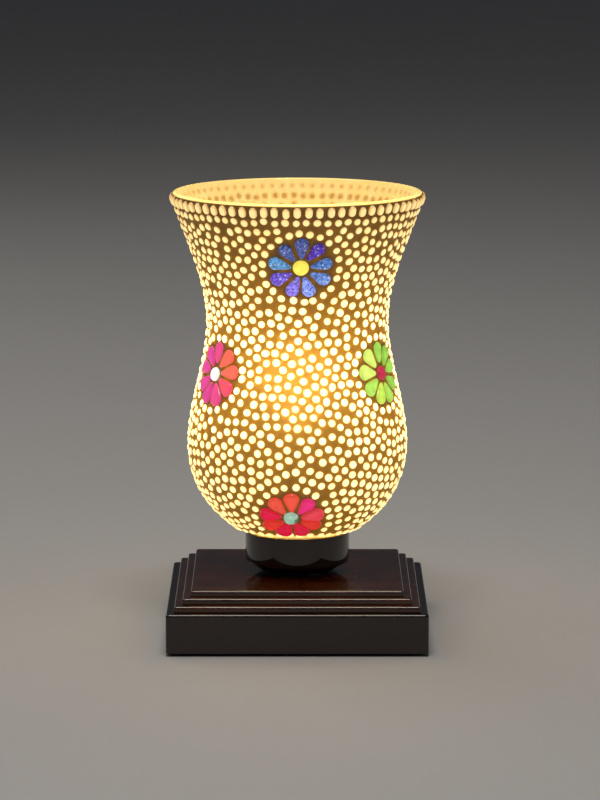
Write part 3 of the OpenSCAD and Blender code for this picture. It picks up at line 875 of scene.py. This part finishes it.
def makeGroutFinish():
    f = Finish("amberGrout")
    cloud = f.noise(170, 5, 0.6)
    fine = f.noise(1400, 3)
    ambers = ((0.25, (0.24, 0.092, 0.006)), (0.5, (0.34, 0.15, 0.010)), (0.75, (0.46, 0.22, 0.018)))
    colour = f.ramp(cloud, ambers)
    # painted glow: grout made lighter close to each bead, where light comes through round it
    halo = f.mixed(f.mapped(f.attribute("nearBead"), 0, 1, 0, 0.4), colour, (0.78, 0.47, 0.05))
    # painted shade: grout darkened close to the edges of petals, buttons and rim beads
    dim = f.mixed(f.mapped(f.attribute("nearStone"), 0, 0.8, 0, 0.94), halo, (0.035, 0.008, 0.003))
    speckled = f.mixed(f.mapped(fine, 0.45, 0.75, 0, 0.3), dim, (0.16, 0.05, 0.005))
    f.into("Base Color", f.mixed(0.5, (0.50, 0.37, 0.14), speckled, "MULTIPLY"))
    f.into("Emission Color", speckled)
    f.into("Emission Strength", f.maths("MULTIPLY", lampLight(f, 0.0), 0.58))
    f.into("Roughness", f.mapped(cloud, 0.3, 0.7, 0.38, 0.5))
    f.set(Transmission_Weight=0.3, IOR=1.35)
    f.bump(fine, 0.25, 0.15 * mm)
    return f.material


finishPiece(makeGrout(), makeGroutFinish(), "shade", "grout", "mosaic_bed")
print("grout poured")


def makeGlass():
    around = shade["glassAround"]
    turns = 2 * math.pi * np.arange(around) / around
    neckR = radiusAt(glassTree, (glassLow.z + cupHigh.z) / 2, 0.5, True)
    boreR = radiusAt(glassTree, (glassLow.z + cupHigh.z) / 2, 0.5, False)
    outer, inner, shadow = [], [], []
    neck = filletPath(((boreR, glassLow.z, 0), (neckR, glassLow.z, 0.8 * mm),
                       (neckR, cupHigh.z + 0.5 * mm, 1.0 * mm), (wall.r[0], wall.z[0], 0)), 4)
    for r, z in neck[1:]:
        outer.append(np.stack((r * np.cos(turns), r * np.sin(turns), np.full(around, z)), -1))
    for s in np.linspace(0, wall.length, shade["rings"])[1:]:
        outer.append(wall.points(np.full(around, s), turns, 0))
    # the ground lip, half a circle from one wall to the other
    topOut, topIn = Vector((wall.r[-1], wall.z[-1])), Vector((innerWall.r[-1], innerWall.z[-1]))
    middle, across = (topOut + topIn) / 2, (topOut - topIn) / 2
    rise = Vector((wall.dr[-1], wall.dz[-1])).normalized() * across.length * 0.55
    for k in range(1, 8):
        t = math.pi * k / 8
        p = middle + across * math.cos(t) + rise * math.sin(t)
        inner.append(np.stack((p.x * np.cos(turns), p.x * np.sin(turns), np.full(around, p.y)), -1))
        shadow.append(np.zeros(around))
    for s in np.linspace(innerWall.length, 0, shade["innerRings"]):
        points = innerWall.points(np.full(around, s), turns, 0)
        inner.append(points)
        row = np.zeros(around)
        for k, p in enumerate(points):
            out = Vector((p[0], p[1], 0)).normalized()
            gap = spotFinder.find(Vector(p) + out * 2.6 * mm)[2]
            edge = edgeFinder.find(Vector(p) + out * 2.6 * mm)[2]
            beadShare = 1 / (1 + math.exp((gap - 1.95 * mm) / (0.22 * mm)))
            row[k] = max(beadShare, 0.7 * math.exp(-edge / (2.2 * mm)))
        shadow.append(row)
    for z in np.linspace(innerWall.z[0] - 1.5 * mm, glassLow.z, 8):
        inner.append(np.stack((boreR * np.cos(turns), boreR * np.sin(turns), np.full(around, z)), -1))
        shadow.append(np.zeros(around))
    piece = shellPiece("shade_glass_shell", around, outer, inner)
    storeFloats(piece, "beadShadow", np.concatenate([np.zeros(around * len(outer))] + shadow))
    storeFloats(piece, "inside", np.repeat((0, 1), (around * len(outer), around * len(inner))))
    return piece


def makeGlassFinish():
    f = Finish("frostedShadeGlass")
    cloud = f.noise(90, 4)
    lit = f.ramp(cloud, ((0.3, (1.0, 0.74, 0.25)), (0.7, (1.0, 0.80, 0.32))))
    spotted = f.mixed(f.mapped(f.attribute("beadShadow"), 0, 1, 0, 0.9), lit, (0.34, 0.19, 0.04))
    f.into("Base Color", f.mixed(0.6, (1.0, 0.9, 0.65), spotted, "MULTIPLY"))
    f.into("Emission Color", spotted)
    # painted glow: only the inner face emits, standing for the bulb's light on the inside of the glass
    inner = f.mapped(f.attribute("inside"), 0, 1, 0, 1.9)
    f.into("Emission Strength", f.maths("MULTIPLY", lampLight(f), inner))
    f.set(Roughness=0.3, IOR=1.35, Transmission_Weight=0.85)
    f.bump(f.noise(420, 3), 0.2, 0.15 * mm)
    return f.material


finishPiece(makeGlass(), makeGlassFinish(), "shade", "shade_glass", "shade_glass")
print("glass blown")

# wood

wood = {
    "cornerR": 1.8 * mm,  # the plinth's upright corners
    "stepCornerR": 1.0 * mm,
    "nose": 1.5 * mm,
    "soften": 0.5 * mm,
    "bushFlange": 1.95 * mm,  # how far the bush's flange laps over the hole
}


def lacquer(name, dark, light, grainAlong=(9, 120, 120), rough=0.22, flecks=0.25):
    f = Finish(name)
    along = f.stretched(grainAlong)
    grain = f.noise(1.0, 8, 0.65, along, 0.6)
    pores = f.noise(5.0, 3, 0.5, along)
    broad = f.noise(14, 3)
    between = tuple((a + b) / 2 for a, b in zip(dark, light))
    tint = f.ramp(grain, ((0.28, dark), (0.52, between), (0.74, light)))
    pored = f.mixed(f.mapped(pores, 0.58, 0.72, 0, flecks), tint, tuple(c * 0.3 for c in dark))
    worn = f.mixed(f.mapped(broad, 0.4, 0.7, 0, 0.3), pored, tuple(c * 0.65 for c in light))
    f.into("Base Color", worn)
    f.into("Roughness", f.mapped(broad, 0.3, 0.7, rough, rough + 0.12))
    f.set(Coat_Weight=1.0, Coat_Roughness=0.03, Coat_IOR=1.56, IOR=1.45, Specular_IOR_Level=0.1)
    f.bump(f.mixed(0.5, f.noise(55, 2), grain), 0.05, 0.25 * mm)
    return f.material


plinthLow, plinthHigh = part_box("plinth")
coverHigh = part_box("bottom_cover")[1]
boardLow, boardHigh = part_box("top_board")


# the upper edge of a step, rounded: (half width, z) from the low end to the high end
def nosePath(half, low, high, nose, steps=6):
    path = [(half, low)]
    for k in range(steps + 1):
        t = math.pi / 2 * k / steps
        path.append((half - nose + nose * math.cos(t), high - nose + nose * math.sin(t)))
    return path


def makePlinth():
    half = plinthHigh.x
    opening = coverHigh.x + 0.3 * mm
    hollow = opening - 6 * mm
    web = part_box("terminal_block")[1].z
    soft = wood["soften"]
    inside = [(hollow, web), (hollow, coverHigh.z), (opening, coverHigh.z), (opening, plinthLow.z)]
    outside = [(half - soft, plinthLow.z), (half, plinthLow.z + soft)]
    outside += nosePath(half, plinthHigh.z - 6 * mm, plinthHigh.z, wood["nose"])
    outside += [(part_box("top_board")[1].x - 3 * mm, plinthHigh.z)]
    piece = squareSweep("plinth_block", inside + outside, wood["cornerR"])
    drill(piece, hollow - 3 * mm, half + 3 * mm)
    return piece


# the hole that the cord bush sits in, through the rear wall
def drill(piece, near, far):
    bushLow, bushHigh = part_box("cord_bush")
    boreR = bushHigh.x - wood["bushFlange"]
    place = Matrix.Translation((0, (near + far) / 2, (bushLow.z + bushHigh.z) / 2))
    bm = bmesh.new()
    bmesh.ops.create_cone(bm, cap_ends=True, segments=48, radius1=boreR, radius2=boreR, depth=far - near,
                          matrix=place @ Matrix.Rotation(math.pi / 2, 4, "X"))
    tool = bpy.data.objects.new("drill", bpy.data.meshes.new("drill"))
    bm.to_mesh(tool.data)
    bm.free()
    scene.collection.objects.link(tool)
    bore = piece.modifiers.new("bore", "BOOLEAN")
    bore.object, bore.operation, bore.solver = tool, "DIFFERENCE", "EXACT"
    piece.modifiers.move(piece.modifiers.find("bore"), 0)
    whole = bpy.data.meshes.new_from_object(piece.evaluated_get(bpy.context.evaluated_depsgraph_get()))
    piece.modifiers.clear()
    piece.data = whole
    whole.name = piece.name
    bpy.data.objects.remove(tool)


# the steps are found on the CAD board, by looking at it from the side
def makeBoard():
    tree = castTree("top_board")
    z, step = boardLow.z + 0.3 * mm, 0.1 * mm
    halves = []
    while z < boardHigh.z:
        hit = tree.ray_cast(Vector((0.2, 0.003, z)), Vector((-1, 0, 0)))[0]
        halves.append((z, hit.x if hit else 0))
        z += step
    ledges = [boardLow.z]
    for (z0, h0), (z1, h1) in zip(halves, halves[1:]):
        if h0 - h1 > 1.5 * mm:
            ledges.append((z0 + z1) / 2)
    ledges.append(boardHigh.z)
    path = [(boardHigh.x - 5 * mm, boardLow.z)]
    for low, high in zip(ledges, ledges[1:]):
        half = max(h for z, h in halves if low <= z <= high)
        path += nosePath(half, low + 0.05 * mm, high, wood["nose"])
    return squareSweep("moulded_board", path, wood["stepCornerR"])


def makeCup():
    low, high = cupLow, cupHigh
    tree = castTree("shade_cup")
    footR = radiusAt(tree, low.z + 0.5 * mm, 0.5, True)
    boreR = radiusAt(tree, high.z - 2 * mm, 0.5, False)
    bandZ = low.z
    while radiusAt(tree, bandZ + 0.2 * mm, 0.5, True) < high.x - 0.15 * mm:
        bandZ += 0.1 * mm
    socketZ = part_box("neck_gasket")[0].z
    path = filletPath((
        (0, low.z, 0), (footR, low.z, 0.3 * mm), (footR, low.z + 1.0 * mm, 0.2 * mm),
        (high.x, bandZ, 1.6 * mm), (high.x, high.z, 0.7 * mm), (boreR, high.z, 0.5 * mm),
        (boreR, socketZ, 0.4 * mm), (0, socketZ, 0)), 6)
    return lathe("turned_cup", path, 160, smoothAngle=38)


plinthFinish = lacquer("darkLacqueredWood", (0.005, 0.002, 0.0012), (0.020, 0.006, 0.003))
# the board's lacquer is lighter than the plinth's: partly the wood's own mahogany, partly painted lamp light,
# which falls on its top face
lampLitBoardFinish = lacquer("mahoganyAndLampLitLacquer", (0.012, 0.0035, 0.0015), (0.11, 0.028, 0.006), rough=0.2)
cupFinish = lacquer("turnedCupLacquer", (0.005, 0.002, 0.0012), (0.018, 0.006, 0.003), (120, 120, 14))
finishPiece(makePlinth(), plinthFinish, "base", "lacquered_wood", "plinth")
finishPiece(makeBoard(), lampLitBoardFinish, "base", "board_wood", "top_board")
finishPiece(makeCup(), cupFinish, "base", "cup_wood", "shade_cup")
print("wood turned")

# bulb

bulb = {"globe": (1.0, 0.84, 0.60), "strength": 150.0}


def makeGlobe():
    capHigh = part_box("bulb_cap")[1].z
    neckR = radiusAt(castTree("bulb_glass"), capHigh - 2 * mm, 0.5, True)
    path = [(neckR, bulbLow.z), (neckR, capHigh)]
    join = math.radians(50)
    start = Vector((globeR * math.sin(join), bulbCentre.z - globeR * math.cos(join)))
    along = Vector((math.cos(join), math.sin(join)))
    foot = Vector((neckR, capHigh))
    bend = (start - foot).length * 0.42
    for k in range(1, 12):
        t = k / 12
        a, b = foot + Vector((0.15, 1)) * bend, start - along * bend
        path.append(foot * (1 - t) ** 3 + a * 3 * t * (1 - t) ** 2 + b * 3 * t * t * (1 - t) + start * t ** 3)
    for k in range(0, 29):
        t = join + (math.pi - join) * k / 28
        path.append((globeR * math.sin(t) if k < 28 else 0, bulbCentre.z - globeR * math.cos(t)))
    return lathe("bulb_globe", [(0, bulbLow.z)] + path, 96)


def makeGlobeFinish():
    f = Finish("pearlBulbGlass")
    low = bulbCentre.z - globeR * 1.2
    split = f.add("ShaderNodeSeparateXYZ")
    f.link(f.coords, split.inputs[0])
    height = f.mapped(split.outputs["Z"], low, bulbCentre.z, 0.12, 1.0)
    cloud = f.noise(120, 2)
    strength = f.mapped(cloud, 0.3, 0.7, bulb["strength"] * 0.92, bulb["strength"])
    f.into("Emission Strength", f.maths("MULTIPLY", height, strength))
    f.set(Base_Color=(1.0, 0.93, 0.8, 1), Emission_Color=(*bulb["globe"], 1), Roughness=0.3, Coat_Weight=0.4)
    f.bump(cloud, 0.05, 0.1 * mm)
    return f.material


globe = makeGlobe()
globe.visible_diffuse = False  # the shade's own glow stands for this light on everything dull
finishPiece(globe, makeGlobeFinish(), "bulb", "bulb_glass", "bulb_glass")

# finishes for the working parts


def metal(name, colour, rough, brushed=(400, 400, 20), darken=0.35):
    f = Finish(name)
    streak = f.noise(1.0, 4, 0.6, f.stretched(brushed))
    stain = f.noise(160, 4)
    stained = tuple(c * 0.45 for c in colour)
    f.into("Base Color", f.mixed(f.mapped(stain, 0.45, 0.7, 0, darken), colour, stained))
    f.into("Roughness", f.mapped(streak, 0.3, 0.7, rough * 0.7, rough * 1.4))
    f.set(Metallic=1.0)
    f.bump(streak, 0.12, 0.05 * mm)
    return f.material


def plastic(name, colour, rough, grain=600, coat=0.0, shift=0.25):
    f = Finish(name)
    cloud = f.noise(70, 3)
    shaded = tuple(c * 0.7 for c in colour)
    f.into("Base Color", f.mixed(f.mapped(cloud, 0.35, 0.7, 0, shift), colour, shaded))
    f.into("Roughness", f.mapped(f.noise(grain, 2), 0.3, 0.7, rough * 0.85, rough * 1.15))
    f.set(Coat_Weight=coat, Coat_Roughness=0.08)
    f.bump(f.noise(grain, 3), 0.15, 0.08 * mm)
    return f.material


def fibres(name, dark, light):
    f = Finish(name)
    strand = f.noise(220, 8, 0.7, None, 1.5)
    f.into("Base Color", f.ramp(strand, ((0.3, dark), (0.7, light))))
    f.set(Roughness=0.85)
    f.bump(strand, 0.4, 0.2 * mm)
    return f.material


brass = metal("agedBrass", (0.74, 0.52, 0.20), 0.32)
zinc = metal("zincPlate", (0.60, 0.60, 0.57), 0.38)
nickel = metal("nickelCap", (0.72, 0.70, 0.66), 0.24)
phenolic = plastic("darkPhenolic", (0.030, 0.022, 0.018), 0.28, coat=0.5)
steatite = plastic("steatite", (0.74, 0.69, 0.60), 0.55, 900)
cork = fibres("corkRing", (0.12, 0.07, 0.035), (0.36, 0.23, 0.12))
finishes = {
    "bottom_cover": fibres("fibreboard", (0.14, 0.09, 0.055), (0.34, 0.24, 0.15)),
    "cover_screws": zinc, "rod_nut": zinc, "rod_washer": zinc, "block_screws": zinc,
    "feet": plastic("padRubber", (0.035, 0.032, 0.03), 0.8, 1200),
    "cord_bush": plastic("bushRubber", (0.022, 0.022, 0.022), 0.6, 900),
    "threaded_rod": brass, "holder_spacer": brass, "screw_shell": brass,
    "centre_contact": brass, "holder_terminals": brass,
    "holder_cap": phenolic, "holder_body": phenolic,
    "holder_insert": steatite,
    "live_lead": plastic("brownSleeve", (0.16, 0.065, 0.025), 0.45),
    "neutral_lead": plastic("blueSleeve", (0.03, 0.10, 0.36), 0.45),
    "terminal_block": plastic("ivoryNylon", (0.72, 0.68, 0.58), 0.5),
    "neck_gasket": cork,
    "bulb_tip": nickel, "bulb_cap": nickel,
    "bulb_insulator": plastic("blackVitrite", (0.012, 0.012, 0.012), 0.15, coat=0.6),
    "bulb_stem": plastic("stemGlass", (0.7, 0.75, 0.75), 0.1, coat=0.5),
    "bulb_filament": metal("hotFilament", (0.9, 0.55, 0.2), 0.4),
}
for nodeName, material in finishes.items():
    mesh = nodes[nodeName].data
    mesh.materials.clear()
    mesh.materials.append(material)
print("finishes applied")

# floor, light and camera


def makeFloor():
    floor = newPiece("studio_floor", [(-30, -30, 0), (30, -30, 0), (30, 30, 0), (-30, 30, 0)], [(0, 1, 2, 3)])
    f = Finish("paleFloor")
    cloud = f.noise(3, 3)
    f.into("Base Color", f.mixed(f.mapped(cloud, 0.3, 0.7, 0, 0.3), (0.60, 0.58, 0.55), (0.54, 0.52, 0.49)))
    f.set(Roughness=0.75)
    floor.data.materials.append(f.material)


def softLight(name, place, aim, size, watts, colour):
    data = bpy.data.lights.new(name, "AREA")
    data.shape, data.size, data.size_y = "RECTANGLE", size[0], size[1]
    data.energy, data.color = watts, colour
    lamp = bpy.data.objects.new(name, data)
    lamp.location = place
    lamp.rotation_euler = (Vector(aim) - Vector(place)).to_track_quat("-Z", "Y").to_euler()
    scene.collection.objects.link(lamp)


studio = {"world": (0.80, 0.85, 0.95), "worldStrength": 0.045,
          "overhead": 11.0, "front": 8.0, "fill": 1.0, "back": 2.5}
makeFloor()
softLight("overheadLight", (-0.3, 0.1, 2.2), (0, 0, 0), (1.7, 1.7), studio["overhead"], (1.0, 0.98, 0.95))
softLight("frontStrip", (0.0, -0.65, 1.7), (0, 0, 0.03), (0.55, 0.3), studio["front"], (1.0, 0.97, 0.95))
softLight("fillLight", (1.6, -0.9, 1.0), (0, 0, 0.1), (1.2, 0.8), studio["fill"], (0.92, 0.96, 1.0))
softLight("backLight", (-1.2, 1.5, 1.2), (0, 0, 0.1), (1.0, 0.7), studio["back"], (1.0, 0.98, 0.95))
world = bpy.data.worlds.new("studioWorld")
scene.world = world
world.use_nodes = True
backdrop = world.node_tree.nodes["Background"]
backdrop.inputs["Color"].default_value = (*studio["world"], 1)
backdrop.inputs["Strength"].default_value = studio["worldStrength"]
scene.view_settings.view_transform = "Standard"

camera = {"away": 2.2, "height": 0.492, "tilt": 9.33, "lens": 179.4, "shift": 0.0034}
lens = bpy.data.cameras.new("mainCamera")
lens.sensor_width, lens.lens, lens.shift_x = 36, camera["lens"], camera["shift"]
lens.clip_start, lens.clip_end = 0.05, 100
eye = bpy.data.objects.new("mainCamera", lens)
eye.location = (0, -camera["away"], camera["height"])
eye.rotation_euler = (math.radians(90 - camera["tilt"]), 0, 0)
scene.collection.objects.link(eye)
scene.camera = eye
print("studio set")
